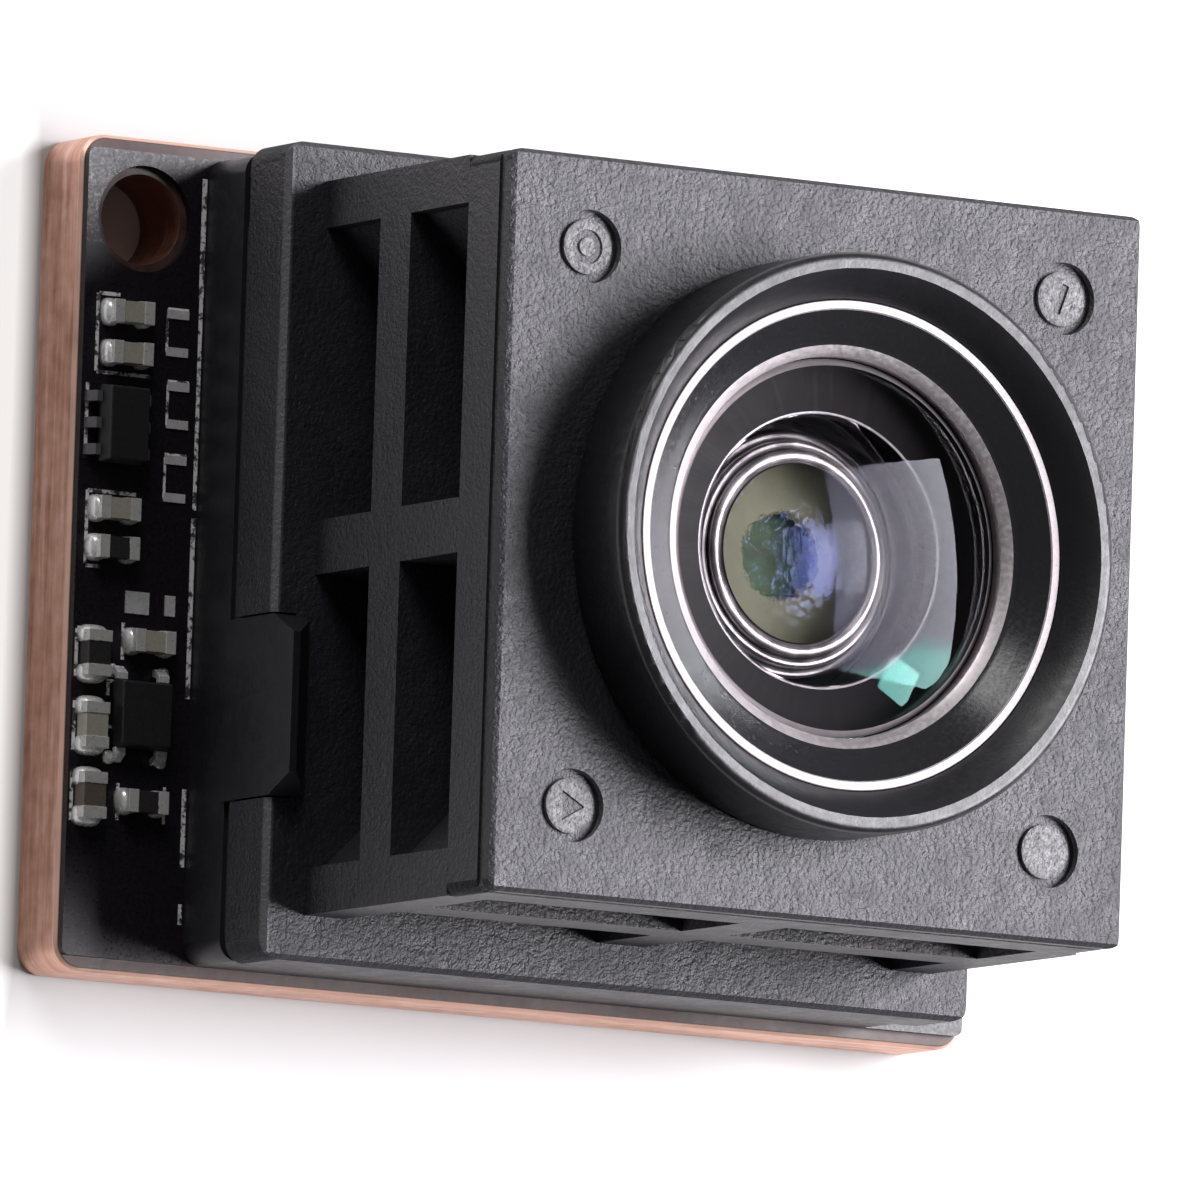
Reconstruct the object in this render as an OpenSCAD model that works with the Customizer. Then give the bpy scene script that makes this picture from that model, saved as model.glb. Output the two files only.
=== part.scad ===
// Board camera with an M12 lens, lying on the back of its base plate.
// X runs along the board's long side, Y along its short side and +Z is the lens axis.
// The origin is the middle of the base plate's back face. All sizes are in millimetres.

/* [Base plate and circuit board] */
// Thickness of the copper base plate
plate_t = 1.9; // [1:0.1:3]
// Thickness of the black circuit board bonded to the plate
board_t = 0.2; // [0.1:0.05:1]
// Radius of the plate's corners
plate_corner_r = 0.7; // [0.5:0.1:2]
// Rounding of the plate's edges, drawn as a bevel
plate_bevel = 0.1; // [0.02:0.02:0.3]
// Bare copper beside the board's left and right edges
plate_side_margin = 0.1; // [0:0.02:1]
// Bare copper beyond the board's top and bottom edges
plate_end_margin = 0.36; // [0:0.02:1]
// Radius of the board's corners
board_corner_r = 0.2; // [0.1:0.1:2]
// Width of the strip that carries the chips, left of the rear frame
chip_strip_w = 3.36; // [3.3:0.02:6]
// Width of the strip that carries the board connector, right of the rear frame
plug_strip_w = 2.4; // [2.4:0.1:6]
// Margin of board above and below the rear frame
board_margin = 0; // [0:0.02:2]
// Diameter of the fixing hole through the plate
hole_d = 2.2; // [1.6:0.1:2.6]
// Distance of the fixing hole from the plate's left edge
hole_from_left = 1.71; // [1.4:0.01:2]
// Distance of the fixing hole from the plate's top edge
hole_from_top = 1.99; // [1.4:0.01:2.2]
// Bare copper left around the fixing hole by the circuit board
hole_land = 0.2; // [0.16:0.02:0.4]

/* [Rear frame] */
// Height of the rear frame
rear_frame_t = 1.75; // [1.5:0.05:4]
// Width of the rear frame's wall
frame_wall = 3; // [2.8:0.1:3.4]
// Radius of the frame's and flange's corners
frame_corner_r = 0.5; // [0.2:0.1:1]
// Height of the sealing gasket between rear frame and lens holder
gasket_t = 0.45; // [0.2:0.05:1]
// Depth that the gasket is set back from the rear frame's sides
gasket_setback = 0.12; // [0.02:0.02:0.4]
// Length of the vent left open in the gasket, near the top left corner
vent_l = 1.2; // [0.4:0.1:3]
// Width of a snap tab at its root
tab_w = 4.4; // [3:0.1:6]
// Thickness of a snap tab
tab_t = 0.6; // [0.4:0.05:0.65]
// Height of a snap tab above the flange
tab_rise = 1; // [0.6:0.1:2]
// Distance that a snap tab's nose reaches over the flange
tab_nose = 0.28; // [0.15:0.01:0.3]
// Distance of the snap tabs below the lens axis
tab_drop = 3.9; // [0:0.1:4.5]

/* [Lens holder] */
// Side of the square block that holds the lens
block_size = 17.84; // [17:0.02:24]
// Width of the flange's step left and right of the block
side_ledge = 1.15; // [0.95:0.05:2]
// Width of the flange's step above and below the block
end_ledge = 1.01; // [0.95:0.01:2]
// Distance that the flange reaches over the rear frame's sides
flange_lip = 0.1; // [0.02:0.02:0.3]
// Thickness of the flange
flange_t = 1.75; // [1.5:0.05:4]
// Height of the block above the flange
block_h = 8.62; // [8:0.02:12]
// Thickness of the front plate
front_plate_t = 2.02; // [1:0.02:3]
// Height of the shelf that divides the windows into two rows
shelf_z = 2.51; // [1.5:0.01:4]
// Thickness of the shelf that divides the windows
shelf_t = 1.42; // [0.8:0.01:2]
// Width of the corner posts
post_w = 1.15; // [0.8:0.05:1.6]
// Thickness of the straight ribs that carry the lens tube
rib_t = 1.33; // [0.8:0.01:2]
// Thickness of the diagonal ribs in the corners
corner_rib_t = 1; // [0.6:0.1:1.6]
// Thickness of the floor under the lens tube
floor_t = 0.7; // [0.5:0.1:1.2]
// Distance of the lens axis above the middle of the board
axis_rise = 0.1; // [0:0.05:0.5]
// Wall of the lens tube around the thread
tube_wall = 1.1; // [0.8:0.1:1.4]
// Distance of the corner marks' centres from the block's sides
mark_inset = 2.2; // [1.6:0.01:2.5]
// Diameter of a corner mark
mark_d = 1.77; // [1.2:0.01:2]
// Depth of a corner mark
mark_depth = 0.2; // [0.1:0.05:0.5]

/* [Lens barrel] */
// Radius of the lens thread
thread_r = 6; // [5.95:0.05:7.2]
// Distance that the barrel's head reaches over its thread
head_overhang = 1; // [0.9:0.05:1.2]
// Height of the barrel's head above the front plate
head_rise = 2.24; // [2.1:0.02:3.5]
// Gap between the barrel's back and the holder's floor
barrel_gap = 0.07; // [0.02:0.01:0.5]
// Width of the flat rim at the front of the barrel's head
rim_w = 0.2; // [0.1:0.02:0.3]
// Depth of the front ring below the barrel's rim
ring_depth = 0.76; // [0.4:0.02:1]
// Wall of the barrel's head around the front ring
head_wall = 1.1; // [1:0.01:1.3]
// Inner radius of the front ring
front_ring_bore_r = 4.6; // [4:0.05:5]
// Height of the front ring
front_ring_t = 0.95; // [0.6:0.05:1.2]
// Width of the front ring's flat top
front_ring_land = 0.22; // [0.1:0.02:0.4]
// Width of the seat behind the front ring, around the front lens element
glass_seat = 0.3; // [0.2:0.05:0.6]
// Wall of the barrel around the rear lens elements
rear_wall = 1.8; // [1.5:0.05:2.2]

/* [Image sensor] */
// Length of the image sensor's package, along X
sensor_w = 9; // [8:0.1:11]
// Width of the image sensor's package, along Y
sensor_h = 8; // [7:0.1:10]
// Height of the image sensor's package
sensor_t = 0.8; // [0.6:0.05:1]
// Length of the infrared filter, along X
filter_w = 8.2; // [7.5:0.1:8.6]
// Width of the infrared filter, along Y
filter_h = 6.8; // [6:0.1:7.6]

/* [Chips] */
// Length of a chip capacitor
chip_l = 1.12; // [0.8:0.02:1.2]
// Width of a small chip capacitor
chip_w = 0.56; // [0.4:0.02:0.6]
// Width of a large chip capacitor
wide_chip_w = 0.66; // [0.5:0.02:0.7]
// Height of a chip capacitor
chip_h = 0.5; // [0.3:0.05:0.8]
// Number of contacts in each row of the board connector
contact_count = 10; // [4:1:12]
// Distance from one connector contact to the next
contact_pitch = 0.8; // [0.6:0.05:1]

/* [Hidden] */
$fn = 96;
CUT = 0.01;          // how far a cutting shape runs past the face that it opens
FIT = 0.03;          // clearance between parts that slide into each other
LOOSE = 0.05;        // clearance between moulded parts

// Outlines: the flange follows the block, the rear frame follows the flange, the board
// follows the rear frame and the base plate follows the board
flange_w = block_size + 2 * side_ledge;
flange_h = block_size + 2 * end_ledge;
frame_w = flange_w - 2 * flange_lip;
frame_h = flange_h - 2 * flange_lip;
cavity_w = frame_w - 2 * frame_wall;
cavity_h = frame_h - 2 * frame_wall;
board_w = chip_strip_w + frame_w + plug_strip_w;
board_h = frame_h + 2 * board_margin;
plate_w = board_w + 2 * plate_side_margin;
plate_h = board_h + 2 * plate_end_margin;
axis_x = (chip_strip_w - plug_strip_w) / 2;

// Heights of the stack
board_z = plate_t + board_t;
gasket_z = board_z + rear_frame_t;
flange_z = gasket_z + gasket_t;
step_z = flange_z + flange_t;
front_z = step_z + block_h;
ceiling_z = front_z - front_plate_t;
rim_z = front_z + head_rise;

// Fixing hole
hole_x = hole_from_left - plate_w / 2;
hole_y = plate_h / 2 - hole_from_top;

// Corner screws, M1.6 with countersunk heads
screw_r = 0.8;
screw_head_r = 1.5;
screw_head_h = 0.7;
screw_sink = 0.05;
screw_inset = 1.6;
screw_hex_r = 0.45;
screw_hex_depth = 0.42;
screw_depth = 1.2;
screw_x = frame_w / 2 - screw_inset;
screw_y = frame_h / 2 - screw_inset;

// Window for the light in the holder's floor, and the filter's recess behind it
filter_t = 0.3;
filter_recess_t = 0.5;
filter_seat = 0.6;

// Lens barrel, measured down from its rim
tube_r = thread_r + tube_wall;
head_r = thread_r + head_overhang;
front_ring_r = head_r - head_wall;
front_glass_r = front_ring_r - glass_seat;
rear_glass_r = thread_r - rear_wall;
ring_top_z = rim_z - ring_depth;
ring_seat_z = ring_top_z - front_ring_t;
head_gap = 0.12;
lip_r = 0.2;
mouth_bevel = 0.26;
front_glass_edge = 1.3;
spacer_t = 0.5;
shoulder_z = ring_seat_z - front_glass_edge - spacer_t;
shoulder_t = 0.6;
shoulder_bore_r = 3.4;
rear_seat_z = shoulder_z - shoulder_t;
tube_floor_z = flange_z + filter_recess_t + floor_t;
barrel_back_z = tube_floor_z + barrel_gap;

// Rear lens group, one behind the other from the shoulder
second_glass_t = 1.2;
stop_t = 0.15;
third_glass_t = 1.5;
rear_spacer_t = 0.8;
rear_glass_t = 1.4;
rear_ring_t = 0.8;
stop_z = rear_seat_z - second_glass_t - stop_t;
third_glass_z = stop_z - third_glass_t;
rear_spacer_z = third_glass_z - rear_spacer_t;
rear_glass_z = rear_spacer_z - rear_glass_t;

// Image sensor
die_w = sensor_w - 2;
die_h = sensor_h - 2;
die_t = 0.3;
die_gap = 0.3;
sensor_floor_t = 0.35;
cover_glass_t = 0.4;
cover_glass_inset = 0.3;

// Chip capacitors on the left strip, each by its centre's distance from the board's left
// edge and from its top edge, and whether it stands upright
CHIPS = [
    [1.15, 3.99, false],
    [1.15, 4.99, false],
    [0.95, 8.79, false],
    [0.95, 9.74, false],
    [2.05, 11.94, false],
    [2, 15.84, false],
    [0.5, 12.34, true],
    [0.5, 14.09, true],
    [0.5, 15.79, true]
];
chip_end_l = 0.28;
chip_end_proud = 0.025;

// Footprints left empty: centres from the left edge and from the top edge, each with two
// pads of one size, one step apart
FOOTPRINTS = [[2.63, 4.34], [2.7, 6.1], [2.69, 7.89]];
FOOTPRINT_PAD = [0.6, 0.22];
FOOTPRINT_STEP = 0.92;
// Test pads: distance from the left edge, from the top edge, length and width
TEST_PADS = [[1.75, 10.99, 0.66, 0.54], [2.67, 10.99, 0.28, 0.5]];
pad_t = 0.04;

// Moulded chips: centre from the left edge and from the top edge, and size of the body
REGULATOR = [1, 6.74];
REGULATOR_BODY = [1.2, 1.9, 0.7];
REGULATOR_LEAD = [0.3, 0.22, 0.26];
regulator_lead_step = 0.65;
DRIVER = [1.82, 13.74];
DRIVER_BODY = [1.5, 1.66, 0.6];
DRIVER_LEAD = [0.34, 0.2, 0.3];
driver_lead_step = 1.16;
lead_t = 0.14;
standoff = 0.05;
draft = 0.06;

// Board connector
plug_body_w = 1.5;
plug_end = 0.6;
plug_h = 0.85;
plug_slot_w = 0.6;
plug_floor = 0.25;
contact_w = 0.3;
contact_t = 0.12;
contact_tail = 0.35;
contact_drop = 0.15;
plug_x = (board_w - plug_strip_w) / 2;

CHIP_NODES = [for (i = [0:len(CHIPS) - 1]) str("chip_capacitor_", i + 1)];

// ---------- shared shapes ----------

// A flat square or rectangle with round corners, centred
module rounded_rect(w, h, r) {
    square([w - 2 * r, h], center = true);
    square([w, h - 2 * r], center = true);
    for (x = [-1, 1], y = [-1, 1])
        translate([x * (w / 2 - r), y * (h / 2 - r)])
            circle(r);
}

module rounded_block(w, h, r, t) {
    linear_extrude(t)
        rounded_rect(w, h, r);
}

// Outline of a bar's end from low to high and from 0 to t, bevelled at its four corners
function bevelled_end(low, high, t, bevel) = [
    [low + bevel, 0],
    [high - bevel, 0],
    [high, bevel],
    [high, t - bevel],
    [high - bevel, t],
    [low + bevel, t],
    [low, t - bevel],
    [low, bevel]
];

// A block with round corners and a bevel along every edge of both faces
module bevelled_block(w, h, r, t, bevel) {
    rotate([90, 0, 90])
        translate([0, 0, r - w / 2])
            linear_extrude(w - 2 * r)
                polygon(bevelled_end(-h / 2, h / 2, t, bevel));
    rotate([90, 0, 0])
        translate([0, 0, r - h / 2])
            linear_extrude(h - 2 * r)
                polygon(bevelled_end(-w / 2, w / 2, t, bevel));
    for (x = [-1, 1], y = [-1, 1])
        translate([x * (w / 2 - r), y * (h / 2 - r), 0])
            rotate_extrude()
                polygon([[0, 0], [r - bevel, 0], [r, bevel], [r, t - bevel], [r - bevel, t], [0, t]]);
}

// A box centred in X and Y that stands on z
module box(w, h, z, t) {
    translate([-w / 2, -h / 2, z])
        cube([w, h, t]);
}

module disc(r, z, t) {
    translate([0, 0, z])
        cylinder(r = r, h = t);
}

// Places its children on the lens axis
module on_axis() {
    translate([axis_x, axis_rise, 0])
        children();
}

// Places its children in the middle of the rear frame
module on_frame() {
    translate([axis_x, 0, 0])
        children();
}

// Places its children on the board's front face, from the board's top left corner
module on_board(from_left, from_top) {
    translate([from_left - board_w / 2, board_h / 2 - from_top, board_z])
        children();
}

// Repeats its children at the four corner screws
module at_screws() {
    on_frame()
        for (x = [-1, 1], y = [-1, 1])
            translate([x * screw_x, y * screw_y, 0])
                children();
}

// Repeats its children at the left and right sides of the flange, facing outwards
module at_tabs() {
    on_frame()
        for (side = [0, 1])
            mirror([1 - side, 0, 0])
                translate([flange_w / 2, axis_rise - tab_drop, 0])
                    children();
}

// Cuts a bevel along the four top edges of a block whose top is at z
module edge_bevel(w, h, z, bevel) {
    for (turn = [0:90:270]) {
        across = turn % 180 == 0 ? w : h;
        along = turn % 180 == 0 ? h : w;
        rotate(turn)
            translate([across / 2, along / 2 + CUT, z])
                rotate([90, 0, 0])
                    linear_extrude(along + 2 * CUT)
                        polygon([[-bevel, CUT], [CUT, CUT], [CUT, -bevel]]);
    }
}

// Cuts a fine groove around a square block
module side_groove(size, z, width, depth) {
    difference() {
        box(size + 2 * CUT, size + 2 * CUT, z, width);
        box(size - 2 * depth, size - 2 * depth, z - CUT, width + 2 * CUT);
    }
}

// ---------- base plate and circuit board ----------

module copper_base_plate() {
    color("peru")
    difference() {
        bevelled_block(plate_w, plate_h, plate_corner_r, plate_t, plate_bevel);
        translate([hole_x, hole_y, 0])
            disc(hole_d / 2, -CUT, plate_t + 2 * CUT);
        at_screws() {
            disc(screw_r + LOOSE, -CUT, plate_t + 2 * CUT);
            disc(screw_head_r + LOOSE, -CUT, screw_sink + CUT);
            translate([0, 0, screw_sink])
                cylinder(r1 = screw_head_r + LOOSE, r2 = screw_r + LOOSE, h = screw_head_h);
        }
    }
}

module circuit_board() {
    color("#1c1c1e")
    difference() {
        translate([0, 0, plate_t])
            rounded_block(board_w, board_h, board_corner_r, board_t);
        translate([hole_x, hole_y, 0])
            disc(hole_d / 2 + hole_land, plate_t - CUT, board_t + 2 * CUT);
        at_screws()
            disc(screw_r + 2 * LOOSE, plate_t - CUT, board_t + 2 * CUT);
    }
}

module solder_pads() {
    color("silver") {
        for (place = FOOTPRINTS, side = [-1, 1])
            on_board(place[0], place[1] + side * FOOTPRINT_STEP / 2)
                box(FOOTPRINT_PAD[0], FOOTPRINT_PAD[1], 0, pad_t);
        for (pad = TEST_PADS)
            on_board(pad[0], pad[1])
                box(pad[2], pad[3], 0, pad_t);
    }
}

module corner_screws() {
    color("#55565a")
    at_screws()
        difference() {
            union() {
                translate([0, 0, screw_sink])
                    cylinder(r1 = screw_head_r, r2 = screw_r, h = screw_head_h);
                disc(screw_r, screw_sink, flange_z + screw_depth - 2 * LOOSE - screw_sink);
            }
            translate([0, 0, -CUT])
                cylinder(r = screw_hex_r, h = screw_sink + screw_hex_depth + CUT, $fn = 6);
        }
}

// ---------- rear frame and gasket ----------

// A snap tab, with its outer face on X = 0. The nose hooks over the flange.
module snap_tab() {
    nose_z = step_z + LOOSE;
    top_z = step_z + tab_rise;
    slant = 0.5;
    tip = 0.2;
    intersection() {
        translate([0, tab_w, 0])
            rotate([90, 0, 0])
                linear_extrude(2 * tab_w)
                    polygon([
                        [0, gasket_z - CUT],
                        [0, top_z],
                        [-tip, top_z],
                        [-tab_t - tab_nose, nose_z + tip],
                        [-tab_t - tab_nose, nose_z],
                        [-tab_t, nose_z],
                        [-tab_t, gasket_z - CUT]
                    ]);
        rotate([90, 0, -90])
            linear_extrude(tab_t + tab_nose + CUT)
                polygon([
                    [-tab_w / 2, gasket_z - CUT],
                    [tab_w / 2, gasket_z - CUT],
                    [tab_w / 2, step_z],
                    [tab_w / 2 - slant, top_z],
                    [slant - tab_w / 2, top_z],
                    [-tab_w / 2, step_z]
                ]);
    }
}

// The slot that a snap tab needs in the gasket and the flange
module tab_slot() {
    slot_w = tab_w + 2 * LOOSE;
    translate([-tab_t - LOOSE, -slot_w / 2, gasket_z - CUT])
        cube([tab_t + 1, slot_w, step_z - gasket_z + 2 * CUT]);
}

module rear_frame() {
    color("#26262a") {
        difference() {
            on_frame()
                difference() {
                    translate([0, 0, board_z])
                        rounded_block(frame_w, frame_h, frame_corner_r, rear_frame_t);
                    box(cavity_w, cavity_h, board_z - CUT, rear_frame_t + 2 * CUT);
                }
            at_screws()
                disc(screw_r + 2 * LOOSE, board_z - CUT, rear_frame_t + 2 * CUT);
        }
        at_tabs()
            snap_tab();
    }
}

module sealing_gasket() {
    outer_w = frame_w - 2 * gasket_setback;
    outer_h = frame_h - 2 * gasket_setback;
    vent_depth = 0.5;
    vent_from_top = 0.6;
    color("#101012")
    difference() {
        on_frame()
            difference() {
                translate([0, 0, gasket_z])
                    rounded_block(outer_w, outer_h, frame_corner_r, gasket_t);
                box(cavity_w, cavity_h, gasket_z - CUT, gasket_t + 2 * CUT);
                translate([-frame_w / 2, frame_h / 2 - vent_from_top - vent_l, gasket_z - CUT])
                    cube([vent_depth, vent_l, gasket_t + 2 * CUT]);
            }
        at_screws()
            disc(screw_r + 2 * LOOSE, gasket_z - CUT, gasket_t + 2 * CUT);
        at_tabs()
            tab_slot();
    }
}

// ---------- lens holder ----------

module flange() {
    bevel = 0.14;
    on_frame()
        difference() {
            translate([0, 0, flange_z])
                rounded_block(flange_w, flange_h, frame_corner_r, flange_t);
            edge_bevel(flange_w, flange_h, step_z, bevel);
        }
}

// The straight and diagonal ribs that join the lens tube to the block's sides and corners
module ribs() {
    height = ceiling_z - step_z;
    box(block_size, rib_t, step_z, height);
    box(rib_t, block_size, step_z, height);
    intersection() {
        box(block_size, block_size, step_z, height);
        for (turn = [45, 135])
            rotate(turn)
                box(2 * (block_size - post_w), corner_rib_t, step_z, height);
    }
}

module corner_posts() {
    offset_xy = (block_size - post_w) / 2;
    for (x = [-1, 1], y = [-1, 1])
        translate([x * offset_xy, y * offset_xy, 0])
            box(post_w, post_w, step_z, ceiling_z - step_z);
}

// Front plate with a bevelled edge and a shallow groove around its sides
module front_plate() {
    corner_r = 0.3;
    bevel = 0.12;
    groove_drop = 0.38;
    groove_w = 0.25;
    groove_depth = 0.06;
    difference() {
        translate([0, 0, ceiling_z])
            rounded_block(block_size, block_size, corner_r, front_plate_t);
        edge_bevel(block_size, block_size, front_z, bevel);
        side_groove(block_size, front_z - groove_drop - groove_w, groove_w, groove_depth);
    }
}

// Four round marks with raised middles: a triangle, a bar, a ring and a bare disc
module corner_marks() {
    mark_offset = block_size / 2 - mark_inset;
    moat_w = 0.22;
    middle_z = front_z - mark_depth / 2;
    figure_z = middle_z - mark_depth / 4;
    figure_r = 0.42;
    bar_w = 0.2;
    bar_l = 0.75;
    for (x = [-1, 1], y = [-1, 1])
        translate([x * mark_offset, y * mark_offset, 0])
            difference() {
                disc(mark_d / 2, front_z - mark_depth, mark_depth + CUT);
                disc(mark_d / 2 - moat_w, front_z - mark_depth - CUT, mark_depth / 2 + CUT);
            }
    translate([-mark_offset, -mark_offset, figure_z])
        cylinder(r = figure_r, h = mark_depth, $fn = 3);
    translate([mark_offset, mark_offset, 0])
        rotate(70)
            box(bar_l, bar_w, figure_z, mark_depth);
    translate([-mark_offset, mark_offset, 0])
        difference() {
            disc(figure_r, figure_z, mark_depth);
            disc(figure_r - bar_w, figure_z - CUT, mark_depth + 2 * CUT);
        }
}

module lens_holder() {
    light_w = filter_w - 2 * filter_seat;
    light_h = filter_h - 2 * filter_seat;
    color("#2b2b2f")
    difference() {
        union() {
            flange();
            on_axis() {
                disc(tube_r, step_z, ceiling_z - step_z);
                ribs();
                corner_posts();
                box(block_size, block_size, step_z + shelf_z, shelf_t);
                front_plate();
            }
        }
        on_axis() {
            disc(thread_r, tube_floor_z, front_z);
            box(light_w, light_h, flange_z - CUT, flange_t);
            box(filter_w + 2 * LOOSE, filter_h + 2 * LOOSE, flange_z - CUT, filter_recess_t + CUT);
            corner_marks();
        }
        at_screws()
            disc(screw_r, flange_z - CUT, screw_depth + CUT);
        at_tabs()
            tab_slot();
    }
}

// ---------- lens ----------

// Radius of the ball whose cap has this height over a circle of radius r
function ball_r(r, height) = (r * r + height * height) / (2 * height);

// A cap of glass that rises from z over a circle of radius r
module cap(r, z, height) {
    ball = ball_r(r, height);
    intersection() {
        disc(r, z, height + 1);
        translate([0, 0, z + height - ball])
            sphere(ball);
    }
}

// A lens element with a flat rim. Positive rises bulge out of the glass and
// negative ones sink into it. The rim's back face is at z.
module element(rim_r, z, rim_t, front_r, front_rise, back_r, back_rise) {
    top = z + rim_t;
    difference() {
        union() {
            disc(rim_r, z, rim_t);
            if (front_rise > 0)
                cap(front_r, top, front_rise);
            if (back_rise > 0)
                translate([0, 0, z])
                    mirror([0, 0, 1])
                        cap(back_r, 0, back_rise);
        }
        if (front_rise < 0)
            translate([0, 0, top + front_rise + ball_r(front_r, -front_rise)])
                sphere(ball_r(front_r, -front_rise));
        if (back_rise < 0)
            translate([0, 0, z - back_rise - ball_r(back_r, -back_rise)])
                sphere(ball_r(back_r, -back_rise));
    }
}

module lens_barrel() {
    thread_fit_r = thread_r - FIT;
    head_z = front_z + head_gap;
    wide_r = front_glass_r + FIT;
    narrow_r = rear_glass_r + FIT;
    ring_r = front_ring_r + FIT;
    mouth_r = head_r - lip_r - rim_w;
    lead_in = 0.3;
    color("#161618")
    on_axis()
        rotate_extrude()
            union() {
                polygon([
                    [narrow_r, barrel_back_z],
                    [thread_fit_r - lead_in, barrel_back_z],
                    [thread_fit_r, barrel_back_z + lead_in],
                    [thread_fit_r, head_z],
                    [head_r, head_z],
                    [head_r, rim_z - lip_r],
                    [head_r - lip_r, rim_z],
                    [mouth_r, rim_z],
                    [mouth_r - mouth_bevel, rim_z - mouth_bevel],
                    [ring_r, ring_top_z],
                    [ring_r, ring_seat_z],
                    [wide_r, ring_seat_z],
                    [wide_r, shoulder_z],
                    [shoulder_bore_r, shoulder_z],
                    [shoulder_bore_r, rear_seat_z],
                    [narrow_r, rear_seat_z]
                ]);
                translate([head_r - lip_r, rim_z - lip_r])
                    circle(lip_r);
            }
}

module front_ring() {
    slope_drop = 0.55;
    color("#8a8a8e")
    on_axis()
        rotate_extrude()
            polygon([
                [front_ring_bore_r, ring_seat_z],
                [front_ring_r, ring_seat_z],
                [front_ring_r, ring_top_z],
                [front_ring_r - front_ring_land, ring_top_z],
                [front_ring_bore_r, ring_top_z - slope_drop]
            ]);
}

module front_element() {
    bulge = 0.85;
    hollow_r = 3.1;
    color("#9fc4c8")
    on_axis()
        element(front_glass_r, ring_seat_z - front_glass_edge, front_glass_edge,
                front_ring_bore_r - FIT, bulge, hollow_r, -bulge);
}

module front_spacer() {
    bore_r = 3.1;
    color("#77777b")
    on_axis()
        rotate_extrude()
            polygon([
                [shoulder_bore_r, shoulder_z],
                [front_glass_r, shoulder_z],
                [front_glass_r, shoulder_z + spacer_t],
                [bore_r, shoulder_z + spacer_t]
            ]);
}

module second_element() {
    color("#9fc4c8")
    on_axis()
        element(rear_glass_r, rear_seat_z - second_glass_t, second_glass_t,
                front_r = 3, front_rise = 0.9, back_r = 2.2, back_rise = -0.4);
}

module aperture_stop() {
    stop_bore_r = 1;
    color("#101012")
    on_axis()
        difference() {
            disc(rear_glass_r, stop_z, stop_t);
            disc(stop_bore_r, stop_z - CUT, stop_t + 2 * CUT);
        }
}

module third_element() {
    color("#9fc4c8")
    on_axis()
        element(rear_glass_r, third_glass_z, third_glass_t,
                front_r = 2.2, front_rise = -0.3, back_r = 3, back_rise = 0.5);
}

module rear_spacer() {
    rear_spacer_bore_r = 3.1;
    color("#1b1b1d")
    on_axis()
        difference() {
            disc(rear_glass_r, rear_spacer_z, rear_spacer_t);
            disc(rear_spacer_bore_r, rear_spacer_z - CUT, rear_spacer_t + 2 * CUT);
        }
}

module rear_element() {
    color("#9fc4c8")
    on_axis()
        element(rear_glass_r, rear_glass_z, rear_glass_t,
                front_r = 2.8, front_rise = -0.3, back_r = 2.8, back_rise = 0.3);
}

module rear_ring() {
    rear_ring_bore_r = 3;
    color("#1b1b1d")
    on_axis()
        difference() {
            disc(rear_glass_r, rear_glass_z - rear_ring_t, rear_ring_t);
            disc(rear_ring_bore_r, rear_glass_z - rear_ring_t - CUT, rear_ring_t + 2 * CUT);
        }
}

module infrared_filter() {
    color("#7fb8b0")
    on_axis()
        box(filter_w, filter_h, flange_z + filter_recess_t - filter_t, filter_t);
}

// ---------- image sensor ----------

module sensor_package() {
    pocket_w = die_w + 2 * die_gap;
    pocket_h = die_h + 2 * die_gap;
    color("#c9b98c")
    on_axis()
        difference() {
            box(sensor_w, sensor_h, board_z, sensor_t);
            box(pocket_w, pocket_h, board_z + sensor_floor_t, sensor_t);
        }
}

module sensor_die() {
    color("#34383a")
    on_axis()
        box(die_w, die_h, board_z + sensor_floor_t, die_t);
}

module sensor_cover_glass() {
    glass_w = sensor_w - 2 * cover_glass_inset;
    glass_h = sensor_h - 2 * cover_glass_inset;
    color("#b9d0d0")
    on_axis()
        box(glass_w, glass_h, board_z + sensor_t, cover_glass_t);
}

// ---------- board connector ----------

// One contact, from its tail on the board up the inside of the slot, at X > 0
module contact() {
    wall = (plug_body_w - plug_slot_w) / 2;
    inner_x = plug_slot_w / 2;
    translate([0, contact_w / 2, 0])
        rotate([90, 0, 0])
            linear_extrude(contact_w)
                polygon([
                    [inner_x, 0],
                    [inner_x + wall + contact_tail, 0],
                    [inner_x + wall + contact_tail, contact_t],
                    [inner_x + contact_t, contact_t],
                    [inner_x + contact_t, plug_h - contact_drop],
                    [inner_x, plug_h - contact_drop]
                ]);
}

module at_contacts() {
    for (i = [0:contact_count - 1], side = [0, 1])
        translate([plug_x, (i - (contact_count - 1) / 2) * contact_pitch, board_z])
            mirror([side, 0, 0])
                children();
}

module board_connector() {
    slot_l = contact_count * contact_pitch;
    color("#d8cfb8")
    difference() {
        translate([plug_x, 0, board_z])
            difference() {
                box(plug_body_w, slot_l + 2 * plug_end, 0, plug_h);
                box(plug_slot_w, slot_l, plug_floor, plug_h);
            }
        at_contacts()
            contact();
    }
}

module connector_contacts() {
    color("gold")
    at_contacts()
        contact();
}

// ---------- chips ----------

// A chip capacitor: a ceramic body between two slightly larger metal ends
module chip_capacitor(place) {
    width = place[2] ? wide_chip_w : chip_w;
    body_l = chip_l - chip_end_l;
    color("#b9ac97")
    on_board(place[0], place[1])
        rotate(place[2] ? 90 : 0) {
            box(body_l, width - 2 * chip_end_proud, 0, chip_h - chip_end_proud);
            for (side = [-1, 1])
                translate([side * body_l / 2, 0, 0])
                    box(chip_end_l, width, 0, chip_h);
        }
}

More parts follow.
